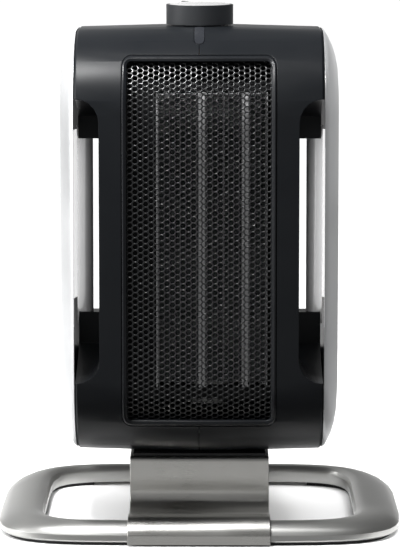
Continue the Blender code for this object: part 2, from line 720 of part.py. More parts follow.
# Rotary switch under the knob
switch = box("rotary_switch", (-0.014, -0.014, BODY_TOP - 0.027), (0.014, 0.014, BODY_TOP - 0.005))
fuse(switch, [rod("bushing", BUSHING_RADIUS, "Z", BODY_TOP - 0.006, BODY_TOP + 0.0045, (0.0, 0.0))])
spindle_hole = SPINDLE_RADIUS + RUNNING_CLEARANCE
hole_low, hole_high = BODY_TOP - 0.017, BODY_TOP + 0.015
combine(switch, [rod("spindle_hole", spindle_hole, "Z", hole_low, hole_high, (0.0, 0.0), steps=16)])
set_material(switch, INSULATOR)
nut = rod("switch_nut", 0.0075, "Z", BODY_TOP + 0.0028, BODY_TOP + 0.0046, (0.0, 0.0), steps=6)
combine(nut, [rod("nut_hole", BUSHING_RADIUS + GAP, "Z", BODY_TOP - 0.005, BODY_TOP + 0.015, (0.0, 0.0))])
set_material(nut, ZINC)

# Knob, turning about the empty on its axis
knob_axis = bpy.data.objects.new("knob_axis", None)
knob_axis.location = (0.0, 0.0, KNOB_LOW)
heater.objects.link(knob_axis)
knob_height = KNOB_HIGH - KNOB_LOW
knob = rod("control_knob", KNOB_RADIUS, "Z", 0.0, knob_height, (0.0, 0.0), steps=32)
roof = knob_height - 0.0030
combine(knob, [rod("hollow", KNOB_RADIUS - KNOB_WALL, "Z", -0.001, roof, (0.0, 0.0), steps=24)])
hub_low = 0.0023
fuse(knob, [rod("hub", 0.006, "Z", hub_low, roof + 0.001, (0.0, 0.0), steps=12)])
spindle_top = 0.0088
combine(
    knob,
    [
        rod("hub_bore", SPINDLE_RADIUS + GAP, "Z", hub_low - 0.001, spindle_top + GAP, (0.0, 0.0), steps=16),
        rod("recess", KNOB_RADIUS - 0.0018, "Z", knob_height - 0.0012, knob_height + 0.001, (0.0, 0.0), steps=32),
    ],
)
set_material(knob, BLACK_SATIN)
spindle = rod("knob_spindle", SPINDLE_RADIUS, "Z", -0.0192, spindle_top, (0.0, 0.0), ZINC, steps=16)
cap_radius = KNOB_RADIUS - 0.0018 - GAP
cap_low = knob_height - 0.0012 + GAP
cap_rings = []
for share, rise in ((1.0, 0.0), (1.0, 0.0010), (0.92, 0.0016), (0.70, 0.0021), (0.35, 0.0025)):
    level = cap_low + rise
    cap_rings.append([Vector((x, y, level)) for x, y in circle(cap_radius * share, 32)])
cap = loft("knob_cap", cap_rings)
turn = math.radians(POINTER_ANGLE)


def pointer_outline(grow):
    """Plan outline of the pointer on the cap, a short radial bar."""
    inner = 0.0135 - grow
    outer = 0.0190 + grow
    half = 0.0009 + grow
    corners = ((inner, -half), (outer, -half), (outer, half), (inner, half))
    points = []
    for along, across in corners:
        x = along * math.cos(turn) - across * math.sin(turn)
        y = along * math.sin(turn) + across * math.cos(turn)
        points.append((x, y))
    return points


combine(cap, [prism("pointer_slot", pointer_outline(GAP), "Z", cap_low + 0.0006, cap_low + 0.006)])
set_material(cap, CAP_SILVER)
pointer = prism("knob_pointer", pointer_outline(0.0), "Z", cap_low + 0.0009, cap_low + 0.0024, RUBBER)
for piece in (knob, spindle, cap, pointer):
    piece.parent = knob_axis


def ring_point(turn, half_x, half_y, power):
    """A point of a rounded rectangle whose sides are slightly bowed."""
    cosine = math.cos(turn)
    sine = math.sin(turn)
    x = math.copysign(abs(cosine) ** (2 / power), cosine) * half_x
    y = math.copysign(abs(sine) ** (2 / power), sine) * half_y
    return Vector((x, y))


def ring_edges(turn):
    power = RING_REAR_POWER if math.sin(turn) > 0 else RING_FRONT_POWER
    outer = ring_point(turn, RING_HALF_X, RING_HALF_Y, power)
    inner = ring_point(turn, RING_HALF_X - RING_SIDE_RAIL, RING_HALF_Y - RING_END_RAIL, RING_INNER_POWER)
    return outer, inner


# Share of the way from the outer edge to the inner one, and height
RING_SECTION = (
    (0.04, RING_LOW),
    (0.00, 0.0034),
    (0.00, 0.0071),
    (0.059, 0.0088),
    (0.129, 0.0104),
    (0.212, 0.0117),
    (0.329, 0.0131),
    (0.459, 0.0142),
    (0.600, 0.0148),
    (0.740, 0.0150),
    (0.86, 0.0144),
    (0.95, 0.0126),
    (1.00, 0.0095),
    (0.97, RING_LOW),
)
ring_rows = []
for index in range(RING_STATIONS):
    outer, inner = ring_edges(2 * math.pi * (index + 0.5) / RING_STATIONS)
    row = []
    for share, z in RING_SECTION:
        point = outer.lerp(inner, share)
        row.append(Vector((point.x, point.y, z)))
    ring_rows.append(row)
ring = loft("base_ring", ring_rows, closed=True)
ring_cuts = []
studs = [(x, y) for x in (-STUD_X, STUD_X) for y in (-STUD_Y, STUD_Y)]
for x, y in studs:
    ring_cuts.append(rod("stud_hole", STUD_RADIUS + SCREW_CLEARANCE, "Z", 0.0, 0.020, (x, y), steps=10))
    ring_cuts.append(rod("nut_recess", 0.0046, "Z", 0.0, 0.0085, (x, y), steps=12))
combine(ring, ring_cuts)
set_material(ring, SATIN_CAST)


def pad(name, first_turn, last_turn, steps, low_share, high_share):
    """A rubber strip under part of the ring."""
    rows = []
    for index in range(steps + 1):
        turn = math.radians(first_turn + (last_turn - first_turn) * index / steps)
        outer, inner = ring_edges(turn)
        near = outer.lerp(inner, low_share)
        far = outer.lerp(inner, high_share)
        top = RING_LOW - GAP
        rows.append(
            [
                Vector((near.x, near.y, 0.0)),
                Vector((far.x, far.y, 0.0)),
                Vector((far.x, far.y, top)),
                Vector((near.x, near.y, top)),
            ]
        )
    return loft(name, rows, RUBBER)


pad("pad_front", 200.0, 340.0, 20, 0.14, 0.84)
pad("pad_rear_left", 112.0, 165.0, 9, 0.25, 0.90)
pad("pad_rear_right", 15.0, 68.0, 9, 0.25, 0.90)

# Strap: up over the front rail, across, up a web to the body, and the same behind
half_path = [(-0.1034, 0.0030), (-0.1034, 0.0072), (-0.1022, 0.0100), (-0.1003, 0.0131), (-0.0980, 0.0154)]
half_path += [(-0.0955, 0.0165), (-0.0915, 0.0165), (-0.0872, 0.0163), (-0.0830, 0.0152), (-0.0780, 0.0138)]
half_path += [(-0.0720, STRAP_FOOT_Z)]
bend_y = -STRAP_WEB_Y - STRAP_BEND
for index in range(7):
    angle = math.radians(15 * index)
    y = bend_y + STRAP_BEND * math.sin(angle)
    half_path.append((y, STRAP_FOOT_Z + STRAP_BEND * (1 - math.cos(angle))))
top_bend = 0.003
for index in range(4):
    angle = math.radians(30 * index)
    y = -STRAP_WEB_Y + top_bend * (1 - math.cos(angle))
    half_path.append((y, STRAP_TOP_Z - top_bend * (1 - math.sin(angle))))
strap_path = half_path + [(-y, z) for y, z in half_path[::-1]]
strap = prism(
    "pedestal_strap",
    wall_outline(strap_path, STRAP_THICKNESS),
    "X",
    -STRAP_HALF_WIDTH,
    STRAP_HALF_WIDTH,
)
stud_shafts = [rod("stud", STUD_RADIUS, "Z", 0.0048, 0.0163, (x, y), steps=10) for x, y in studs]
fuse(strap, stud_shafts)
strap_holes = []
for x in (-PEDESTAL_SCREW_X, PEDESTAL_SCREW_X):
    strap_holes.append(rod("hole", 0.002 + SCREW_CLEARANCE, "Z", 0.040, 0.055, (x, 0.0), steps=10))
combine(strap, strap_holes)
set_material(strap, BRUSHED)
for index, (x, y) in enumerate(studs):
    stud_nut = rod("ring_nut_%d" % (index + 1), 0.0040, "Z", 0.0050, 0.0080, (x, y), steps=6)
    combine(stud_nut, [rod("hole", STUD_RADIUS + GAP / 2, "Z", 0.0, 0.020, (x, y), steps=10)])
    set_material(stud_nut, ZINC)

# Saddle between strap and body, the plate inside the body and the two screws that clamp them
strap_top = STRAP_TOP_Z + STRAP_THICKNESS / 2
saddle = box(
    "pedestal_saddle",
    (-SADDLE_HALF_X, -SADDLE_HALF_Y, strap_top + GAP),
    (SADDLE_HALF_X, SADDLE_HALF_Y, SADDLE_TOP),
)
plate = box("mount_plate", (-0.040, -0.016, 0.0545), (0.040, 0.016, 0.0565))
for x in (-PEDESTAL_SCREW_X, PEDESTAL_SCREW_X):
    combine(saddle, [rod("hole", 0.002 + SCREW_CLEARANCE, "Z", 0.040, 0.055, (x, 0.0), steps=10)])
    fuse(plate, [rod("nut", 0.0045, "Z", 0.0560, 0.0595, (x, 0.0), steps=6)])
    combine(plate, [rod("hole", 0.002 + GAP / 2, "Z", 0.050, 0.065, (x, 0.0), steps=10)])
set_material(saddle, RUBBER)
set_material(plate, ZINC)
for index, x in enumerate((-PEDESTAL_SCREW_X, PEDESTAL_SCREW_X)):
    head_top = STRAP_TOP_Z - STRAP_THICKNESS / 2 - GAP
    screw = rod("pedestal_screw_%d" % (index + 1), 0.002, "Z", head_top - 0.001, 0.0605, (x, 0.0), steps=10)
    fuse(screw, [rod("head", 0.0037, "Z", head_top - 0.0024, head_top, (x, 0.0), steps=12)])
    set_material(screw, ZINC)
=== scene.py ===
"""Ceramic space heater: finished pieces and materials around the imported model.

Metres, +Z up, front at -Y.
"""

import math

import bmesh
import bpy
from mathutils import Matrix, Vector


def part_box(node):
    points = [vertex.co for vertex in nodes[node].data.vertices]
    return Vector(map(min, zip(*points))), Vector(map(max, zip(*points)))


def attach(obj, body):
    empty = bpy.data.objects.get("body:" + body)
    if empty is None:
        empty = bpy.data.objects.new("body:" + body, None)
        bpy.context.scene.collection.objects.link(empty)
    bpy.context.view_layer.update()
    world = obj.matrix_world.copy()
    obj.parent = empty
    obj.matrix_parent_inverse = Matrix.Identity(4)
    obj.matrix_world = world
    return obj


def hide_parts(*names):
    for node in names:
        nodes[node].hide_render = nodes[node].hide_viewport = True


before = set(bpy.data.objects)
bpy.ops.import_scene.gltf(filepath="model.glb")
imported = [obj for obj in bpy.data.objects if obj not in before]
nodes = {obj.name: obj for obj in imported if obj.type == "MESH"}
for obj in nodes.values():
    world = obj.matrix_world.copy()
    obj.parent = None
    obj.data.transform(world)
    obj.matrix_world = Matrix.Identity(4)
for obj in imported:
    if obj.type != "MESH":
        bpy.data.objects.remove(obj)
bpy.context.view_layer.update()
scene = bpy.context.scene


# ---------------------------------------------------------------- materials

NOISE_ROUGHNESS = 0.55
PATCH_DETAIL = 3.0
GRAIN_DETAIL = 5.0
GRAIN_ROUGHNESS = 0.03
WAVE_SCALE = 14.0
WAVE_DETAIL = 1.0


class Graph:
    """Short calls for building one node tree."""

    def __init__(self, tree):
        self.tree = tree

    def add(self, kind, **values):
        node = self.tree.nodes.new(kind)
        for key, value in values.items():
            setattr(node, key, value)
        return node

    def link(self, output, target):
        self.tree.links.new(output, target)

    def coordinates(self, stretch=(1.0, 1.0, 1.0)):
        source = self.add("ShaderNodeTexCoord")
        mapping = self.add("ShaderNodeMapping")
        mapping.inputs["Scale"].default_value = stretch
        self.link(source.outputs["Object"], mapping.inputs["Vector"])
        return mapping.outputs["Vector"]

    def noise(self, vector, scale, detail=4.0):
        node = self.add("ShaderNodeTexNoise")
        node.inputs["Scale"].default_value = scale
        node.inputs["Detail"].default_value = detail
        node.inputs["Roughness"].default_value = NOISE_ROUGHNESS
        self.link(vector, node.inputs["Vector"])
        return node.outputs["Fac"]

    def remap(self, value, low, high, from_low=0.3, from_high=0.7):
        node = self.add("ShaderNodeMapRange")
        node.inputs["From Min"].default_value = from_low
        node.inputs["From Max"].default_value = from_high
        node.inputs["To Min"].default_value = low
        node.inputs["To Max"].default_value = high
        self.link(value, node.inputs["Value"])
        return node.outputs["Result"]

    def blend(self, factor, first, second):
        node = self.add("ShaderNodeMix", data_type="RGBA")
        node.inputs["A"].default_value = (*first, 1.0)
        node.inputs["B"].default_value = (*second, 1.0)
        self.link(factor, node.inputs["Factor"])
        return node.outputs["Result"]

    def bump(self, height, strength, distance, normal=None):
        node = self.add("ShaderNodeBump")
        node.inputs["Strength"].default_value = strength
        node.inputs["Distance"].default_value = distance
        self.link(height, node.inputs["Height"])
        if normal is not None:
            self.link(normal, node.inputs["Normal"])
        return node.outputs["Normal"]


def surface(
    name,
    colours,
    roughness,
    grain,
    patch=18.0,
    stretch=(1.0, 1.0, 1.0),
    grain_strength=0.12,
    grain_depth=0.0001,
    metallic=0.0,
    specular=0.5,
    anisotropy=0.0,
    rounding=0.0,
    wave=0.0,
):
    """A moulded, painted or metal finish.

    Two tones in soft patches, uneven roughness, fine grain and edges broken by the rounding.
    """
    material = bpy.data.materials.new(name)
    material.use_nodes = True
    graph = Graph(material.node_tree)
    shader = material.node_tree.nodes["Principled BSDF"]
    vector = graph.coordinates(stretch)
    patches = graph.noise(graph.coordinates(), patch, PATCH_DETAIL)
    fine = graph.noise(vector, grain, GRAIN_DETAIL)
    tones = graph.blend(graph.remap(patches, 0.0, 1.0), *colours)
    graph.link(tones, shader.inputs["Base Color"])
    mixed = graph.add("ShaderNodeMath", operation="ADD")
    graph.link(graph.remap(patches, roughness[0], roughness[1]), mixed.inputs[0])
    graph.link(graph.remap(fine, -GRAIN_ROUGHNESS, GRAIN_ROUGHNESS), mixed.inputs[1])
    graph.link(mixed.outputs["Value"], shader.inputs["Roughness"])
    normal = None
    if rounding:
        bevel = graph.add("ShaderNodeBevel", samples=4)
        bevel.inputs["Radius"].default_value = rounding
        normal = bevel.outputs["Normal"]
    if wave:
        slow = graph.noise(graph.coordinates(), WAVE_SCALE, WAVE_DETAIL)
        normal = graph.bump(slow, 1.0, wave, normal)
    graph.link(graph.bump(fine, grain_strength, grain_depth, normal), shader.inputs["Normal"])
    shader.inputs["Metallic"].default_value = metallic
    shader.inputs["Specular IOR Level"].default_value = specular
    shader.inputs["Anisotropic"].default_value = anisotropy
    return material


# Height range of the side windows, as its middle and half its extent
WINDOW_CENTRE_Z = 0.2065
WINDOW_HALF_HEIGHT = 0.0614
# X of a point times X of its normal is below this where a cover's face looks at the body
INWARD_LIMIT = -0.002
# Strength of the painted light: the inner faces beside the windows give off white light though they
# are no lamp
PAINTED_LIGHT_STRENGTH = 0.65
INNER_GRAIN = 900.0


def inner_face(material, dark, pale):
    """Gives the faces of a side cover that look in at the body a finish of their own.

    They are near-black in the scoops, a painted shade, and pale and emitting white light beside the
    windows, a painted light.
    """
    graph = Graph(material.node_tree)
    shader = material.node_tree.nodes["Principled BSDF"]
    place = graph.add("ShaderNodeTexCoord")
    across = graph.add("ShaderNodeSeparateXYZ")
    facing = graph.add("ShaderNodeSeparateXYZ")
    graph.link(place.outputs["Object"], across.inputs["Vector"])
    graph.link(place.outputs["Normal"], facing.inputs["Vector"])
    product = graph.add("ShaderNodeMath", operation="MULTIPLY")
    graph.link(across.outputs["X"], product.inputs[0])
    graph.link(facing.outputs["X"], product.inputs[1])
    inward = graph.add("ShaderNodeMath", operation="LESS_THAN")
    inward.inputs[1].default_value = INWARD_LIMIT
    graph.link(product.outputs["Value"], inward.inputs[0])
    level = graph.add("ShaderNodeMath", operation="COMPARE")
    level.inputs[1].default_value = WINDOW_CENTRE_Z
    level.inputs[2].default_value = WINDOW_HALF_HEIGHT
    graph.link(across.outputs["Z"], level.inputs[0])
    fine = graph.noise(graph.coordinates(), INNER_GRAIN)
    # Painted shade: near-black in the scoops; painted light: pale beside the windows
    painted_shade_and_light = graph.blend(level.outputs["Value"], dark, pale)
    uneven = graph.add("ShaderNodeVectorMath", operation="SCALE")
    graph.link(painted_shade_and_light, uneven.inputs["Vector"])
    graph.link(graph.remap(fine, 0.92, 1.0), uneven.inputs["Scale"])
    painted = shader.inputs["Base Color"].links[0].from_socket
    mix = graph.add("ShaderNodeMix", data_type="RGBA")
    graph.link(inward.outputs["Value"], mix.inputs["Factor"])
    graph.link(painted, mix.inputs["A"])
    graph.link(uneven.outputs["Vector"], mix.inputs["B"])
    graph.link(mix.outputs["Result"], shader.inputs["Base Color"])
    outer_metallic = shader.inputs["Metallic"].default_value
    sheen = graph.remap(inward.outputs["Value"], outer_metallic, 0.0, 0.0, 1.0)
    graph.link(sheen, shader.inputs["Metallic"])
    # Painted light: the pale faces beside the windows emit white light, though no lamp is there
    painted_emission = graph.add("ShaderNodeMath", operation="MULTIPLY")
    graph.link(inward.outputs["Value"], painted_emission.inputs[0])
    painted_light_level = graph.remap(level.outputs["Value"], 0.0, PAINTED_LIGHT_STRENGTH, 0.0, 1.0)
    graph.link(painted_light_level, painted_emission.inputs[1])
    shader.inputs["Emission Color"].default_value = (1.0, 1.0, 1.0, 1.0)
    graph.link(painted_emission.outputs["Value"], shader.inputs["Emission Strength"])


BLACK_SHELL = surface(
    "black_shell",
    ((0.0048, 0.0056, 0.0068), (0.0064, 0.0072, 0.0084)),
    (0.32, 0.39),
    2600.0,
    grain_strength=0.10,
    specular=0.15,
    rounding=0.0006,
)
BLACK_TRIM = surface(
    "black_trim",
    ((0.0055, 0.0062, 0.0075), (0.0075, 0.0082, 0.0095)),
    (0.24, 0.33),
    2200.0,
    grain_strength=0.08,
    specular=0.20,
    rounding=0.0004,
)
BLACK_KNOB = surface(
    "black_knob",
    ((0.0090, 0.0100, 0.0115), (0.0115, 0.0125, 0.0140)),
    (0.46, 0.54),
    3000.0,
    grain_strength=0.12,
    specular=0.25,
    rounding=0.0006,
)
BLACK_MESH = surface(
    "black_mesh",
    ((0.0040, 0.0044, 0.0050), (0.0060, 0.0064, 0.0070)),
    (0.26, 0.34),
    1800.0,
    specular=0.6,
)
SILVER_COVER = surface(
    "silver_cover",
    ((0.40, 0.405, 0.41), (0.46, 0.465, 0.47)),
    (0.32, 0.40),
    5200.0,
    grain_strength=0.10,
    grain_depth=0.00005,
    metallic=0.55,
    rounding=0.0005,
)
POLISHED = surface(
    "polished_steel",
    ((0.74, 0.74, 0.75), (0.84, 0.84, 0.84)),
    (0.10, 0.17),
    900.0,
    stretch=(1.0, 1.0, 0.06),
    grain_strength=0.06,
    metallic=0.3,
    wave=0.0008,
)
BRUSHED = surface(
    "brushed_steel",
    ((0.48, 0.475, 0.455), (0.535, 0.53, 0.51)),
    (0.27, 0.33),
    4200.0,
    stretch=(0.02, 1.0, 1.0),
    grain_strength=0.03,
    metallic=1.0,
    anisotropy=0.5,
    rounding=0.0003,
)
CAST = surface(
    "satin_cast",
    ((0.375, 0.375, 0.365), (0.425, 0.425, 0.412)),
    (0.30, 0.38),
    2400.0,
    grain_strength=0.12,
    metallic=0.92,
    rounding=0.0005,
)
RUBBER = surface(
    "black_rubber",
    ((0.010, 0.010, 0.011), (0.018, 0.018, 0.019)),
    (0.62, 0.78),
    1500.0,
    grain_strength=0.4,
    specular=0.3,
)
FIN = surface(
    "fin_aluminium",
    ((0.50, 0.50, 0.51), (0.75, 0.75, 0.76)),
    (0.34, 0.5),
    1200.0,
    patch=160.0,
    metallic=0.35,
)
BAR = surface(
    "bar_aluminium",
    ((0.62, 0.62, 0.63), (0.78, 0.78, 0.79)),
    (0.34, 0.46),
    1600.0,
    stretch=(1.0, 1.0, 0.08),
    grain_strength=0.25,
    metallic=0.4,
)
INSULATOR = surface(
    "insulator",
    ((0.006, 0.006, 0.007), (0.010, 0.010, 0.011)),
    (0.45, 0.6),
    1700.0,
    grain_strength=0.3,
    specular=0.2,
)
ZINC = surface(
    "zinc_plate",
    ((0.46, 0.46, 0.45), (0.62, 0.62, 0.60)),
    (0.28, 0.42),
    2000.0,
    metallic=1.0,
    rounding=0.0003,
)
CAP = surface(
    "cap_silver",
    ((0.50, 0.50, 0.50), (0.57, 0.57, 0.57)),
    (0.24, 0.32),
    4000.0,
    grain_depth=0.00004,
    metallic=0.6,
)
FILTER = surface(
    "filter_mesh",
    ((0.030, 0.030, 0.033), (0.070, 0.070, 0.075)),
    (0.6, 0.8),
    1400.0,
    grain_strength=0.8,
    grain_depth=0.0003,
)
BRONZE = surface(
    "sintered_bronze",
    ((0.40, 0.27, 0.14), (0.58, 0.40, 0.22)),
    (0.38, 0.5),
    2500.0,
    metallic=1.0,
)
LAMP = surface(
    "lamp_glass",
    ((0.80, 0.30, 0.12), (0.90, 0.42, 0.20)),
    (0.06, 0.12),
    900.0,
    grain_strength=0.05,
)
LENS = surface(
    "clear_lens",
    ((0.010, 0.011, 0.013), (0.016, 0.017, 0.020)),
    (0.06, 0.10),
    600.0,
    grain_strength=0.03,
    specular=0.14,
)

# Inner faces of the covers: near-black as painted shade in the scoops, near-white and emitting as
# painted light beside the windows
inner_face(SILVER_COVER, (0.014, 0.015, 0.017), (0.86, 0.86, 0.86))

# Finish by the start of a node's name; the longest match counts, and the rest are insulators
FINISHES = {
    "half_shell": BLACK_SHELL,
    "side_cover": SILVER_COVER,
    "grab_rail": POLISHED,
    "grille_bezel": BLACK_TRIM,
    "front_grille": BLACK_MESH,
    "rear_intake_grille": BLACK_TRIM,
    "dust_filter": FILTER,
    "indicator_lens": LENS,
    "indicator_lamp": LAMP,
    "element_side": FIN,
    "contact_bar": BAR,
    "fin_pack": FIN,
    "bearing_bush": BRONZE,
    "fan_motor": ZINC,
    "fan_wheel": BLACK_TRIM,
    "cord_gland": RUBBER,
    "switch_nut": ZINC,
    "control_knob": BLACK_KNOB,
    "knob_spindle": ZINC,
    "knob_cap": CAP,
    "knob_pointer": RUBBER,
    "mount_plate": ZINC,
    "pad": RUBBER,
    "pedestal_saddle": RUBBER,
    "pedestal_screw": ZINC,
    "pedestal_strap": BRUSHED,
    "base_ring": CAST,
    "ring_nut": ZINC,
    "shell_screw": ZINC,
}


def finish_of(name):
    best = ""
    for key in FINISHES:
        if name.startswith(key) and len(key) > len(best):
            best = key
    return FINISHES.get(best, INSULATOR)


MERGE_DISTANCE = 0.000002
SHARP_ANGLE = math.radians(28)


def smooth_group():
    """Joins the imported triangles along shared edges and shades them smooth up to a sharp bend."""
    tree = bpy.data.node_groups.new("smooth_edges", "GeometryNodeTree")
    tree.interface.new_socket("Geometry", in_out="INPUT", socket_type="NodeSocketGeometry")
    tree.interface.new_socket("Geometry", in_out="OUTPUT", socket_type="NodeSocketGeometry")
    graph = Graph(tree)
    start = graph.add("NodeGroupInput")
    end = graph.add("NodeGroupOutput")
    merge = graph.add("GeometryNodeMergeByDistance")
    merge.inputs["Distance"].default_value = MERGE_DISTANCE
    faces = graph.add("GeometryNodeSetShadeSmooth", domain="FACE")
    edges = graph.add("GeometryNodeSetShadeSmooth", domain="EDGE")
    edges.inputs["Shade Smooth"].default_value = False
    angle = graph.add("GeometryNodeInputMeshEdgeAngle")
    sharp = graph.add("FunctionNodeCompare", data_type="FLOAT", operation="GREATER_THAN")
    sharp.inputs["B"].default_value = SHARP_ANGLE
    graph.link(start.outputs[0], merge.inputs["Geometry"])
    graph.link(merge.outputs["Geometry"], faces.inputs["Geometry"])
    graph.link(faces.outputs["Geometry"], edges.inputs["Geometry"])
    graph.link(angle.outputs["Unsigned Angle"], sharp.inputs["A"])
    graph.link(sharp.outputs["Result"], edges.inputs["Selection"])
    graph.link(edges.outputs["Geometry"], end.inputs[0])
    return tree


SMOOTH = smooth_group()
for name, node in nodes.items():
    node.data.materials.clear()
    node.data.materials.append(finish_of(name))
    node.modifiers.new("smooth", "NODES").node_group = SMOOTH
    weighted = node.modifiers.new("weighted", "WEIGHTED_NORMAL")
    weighted.keep_sharp = True


# ---------------------------------------------------------------- new pieces


def add_piece(name, form, material, replaces=()):
    """Makes an object on the chassis from a bmesh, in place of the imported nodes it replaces."""
    mesh = bpy.data.meshes.new(name)
    form.to_mesh(mesh)
    form.free()
    mesh.materials.append(material)
    piece = bpy.data.objects.new(name, mesh)
    scene.collection.objects.link(piece)
    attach(piece, "chassis")
    if replaces:
        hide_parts(*replaces)
    return piece


def join_loops(form, loops, smooth):
    """Skins a row of closed loops that have the same number of points."""
    for first, second in zip(loops, loops[1:]):
        for k in range(len(first)):
            j = (k + 1) % len(first)
            form.faces.new((first[k], first[j], second[j], second[k])).smooth = smooth


def close_tube(form, loops, smooth):
    join_loops(form, loops, smooth)
    form.faces.new(loops[0])
    form.faces.new(loops[-1])
    bmesh.ops.recalc_face_normals(form, faces=form.faces)


# Body profile in (Y, Z), the same one the shells have. KEEL is how far its middle stands out.
CORNER = 0.055
FLAT = 0.019
TOP_CENTRE = 0.290
LOW_CENTRE = 0.1064
KEEL = 0.0023
EDGE_X = 0.0834


def front_y(x, z, inset):
    """Y of the body's front at one place, a given depth below the outer surface."""
    radius = CORNER + KEEL * (1 - min(abs(x), EDGE_X) / EDGE_X) - inset
    if z > TOP_CENTRE:
        rise = min(z - TOP_CENTRE, radius)
    elif z < LOW_CENTRE:
        rise = min(LOW_CENTRE - z, radius)
    else:
        rise = 0.0
    return -FLAT - math.sqrt(max(radius * radius - rise * rise, 0.0))


def arc_point(z, inset, x):
    """A point on the front sheet, with z measured along the curve beyond the flat part."""
    radius = CORNER + KEEL * (1 - abs(x) / EDGE_X) - inset
    level = min(max(z, LOW_CENTRE), TOP_CENTRE)
    turn = (z - level) / CORNER
    return Vector((x, -FLAT - radius * math.cos(turn), level + radius * math.sin(turn)))


# Outlet mesh: hexagonal openings with broken edges in one curved sheet. HEX is the side of a cell,
# and each ring round an opening is its radius and its depth below the body's surface.
HEX = 0.00242
COLUMN_STEP = 1.5 * HEX
ROW_STEP = math.sqrt(3) * HEX
HEX_CORNERS = [(math.cos(math.radians(60 * k)), math.sin(math.radians(60 * k))) for k in range(6)]
HOLE_RINGS = ((0.00206, 0.0046), (0.00190, 0.0048), (0.00182, 0.0052), (0.00182, 0.0060))
SHEET_HALF = 0.0502
SHEET_MARGIN = 0.0006
SHEET_LOW = 0.0740
SHEET_HIGH = 0.3305
sheet = bmesh.new()
shared = {}


def sheet_point(x, z, inset):
    return arc_point(z, inset, max(-SHEET_HALF, min(SHEET_HALF, x)))


def web_vertex(x, z):
    key = (round(x * 1e6), round(z * 1e6))
    if key not in shared:
        shared[key] = sheet.verts.new(sheet_point(x, z, HOLE_RINGS[0][1]))
    return shared[key]


columns = int(SHEET_HALF / COLUMN_STEP) + 1
rows = int((SHEET_HIGH - SHEET_LOW) / ROW_STEP) + 1
for column in range(-columns, columns + 1):
    centre_x = column * COLUMN_STEP
    if abs(centre_x) > SHEET_HALF - SHEET_MARGIN:
        continue
    for row in range(rows):
        centre_z = SHEET_LOW + (row + 0.5 * (column % 2)) * ROW_STEP
        loops = [[web_vertex(centre_x + HEX * cx, centre_z + HEX * cz) for cx, cz in HEX_CORNERS]]
        for radius, inset in HOLE_RINGS:
            ring = []
            for cx, cz in HEX_CORNERS:
                point = sheet_point(centre_x + radius * cx, centre_z + radius * cz, inset)
                ring.append(sheet.verts.new(point))
            loops.append(ring)
        # A web point that the sheet's edge pulled onto its neighbour makes no face
        for wide, narrow in zip(loops, loops[1:]):
            for k in range(6):
                j = (k + 1) % 6
                if len({wide[k], wide[j]}) == 2:
                    sheet.faces.new((wide[k], wide[j], narrow[j], narrow[k])).smooth = True
add_piece("outlet_mesh", sheet, BLACK_MESH, replaces=("front_grille",))


# Bezel: a bead that stands just proud of the shells, with a groove round it and a step down to
# the mesh
BEZEL_X = 0.0526
BEZEL_LOW = 0.0752
BEZEL_HIGH = 0.3296
BEZEL_CORNER = 0.0068
BEZEL_CORNER_LEAST = 0.0014
# The top and bottom bars are this much wider than the sides
BEZEL_BAR_SHARE = 1.2
BEZEL_STEPS = 9
BAR_PARTS = 12
SIDE_PARTS = 48
# Distance in from the outer edge, and depth below the body's surface
BEZEL_SECTION = (
    (-0.0002, 0.0022),
    (0.0001, 0.0004),
    (0.0004, -0.0001),
    (0.0009, -0.0004),
    (0.0015, -0.0004),
    (0.0019, -0.0002),
    (0.0022, 0.0002),
    (0.0025, 0.0002),
    (0.0031, 0.0007),
    (0.0035, 0.0014),
    (0.0036, 0.0044),
)


def frame_path(inward):
    """Points round the bezel at one distance in from its outer edge, as (x, z)."""
    radius = max(BEZEL_CORNER - inward, BEZEL_CORNER_LEAST)
    side = BEZEL_X - inward
    top = BEZEL_HIGH - inward * BEZEL_BAR_SHARE
    base = BEZEL_LOW + inward * BEZEL_BAR_SHARE
    points = []
    corners = (
        (side, top, 0, BAR_PARTS),
        (-side, top, 90, SIDE_PARTS),
        (-side, base, 180, BAR_PARTS),
        (side, base, 270, SIDE_PARTS),
    )
    for x, z, start, parts in corners:
        centre_x = x - math.copysign(radius, x)
        centre_z = z - radius if start < 180 else z + radius
        arc = []
        for i in range(BEZEL_STEPS + 1):
            angle = math.radians(start + 90 * i / BEZEL_STEPS)
            place_x = centre_x + radius * math.cos(angle)
            place_z = centre_z + radius * math.sin(angle)
            arc.append(Vector((place_x, place_z)))
        points.extend(arc)
        reach = top - base - 2 * radius if parts == SIDE_PARTS else 2 * (side - radius)
        heading = math.radians(start + 90)
        along = Vector((-math.sin(heading), math.cos(heading)))
        for i in range(1, parts):
            points.append(arc[-1] + along * (reach * i / parts))
    return points


bead = bmesh.new()
bead_loops = []
for inward, inset in BEZEL_SECTION:
    ring = []
    for x, z in frame_path(inward):
        ring.append(bead.verts.new((x, front_y(x, z, inset), z)))
    bead_loops.append(ring)
join_loops(bead, bead_loops, True)
bmesh.ops.recalc_face_normals(bead, faces=bead.faces)
add_piece("outlet_bezel", bead, BLACK_TRIM, replaces=("grille_bezel",))


FIN_PITCH = 0.00145
FIN_GAUGE = 0.0003
FIN_SIDE_GAP = 0.0001
FIN_FACE_GAP = 0.0003


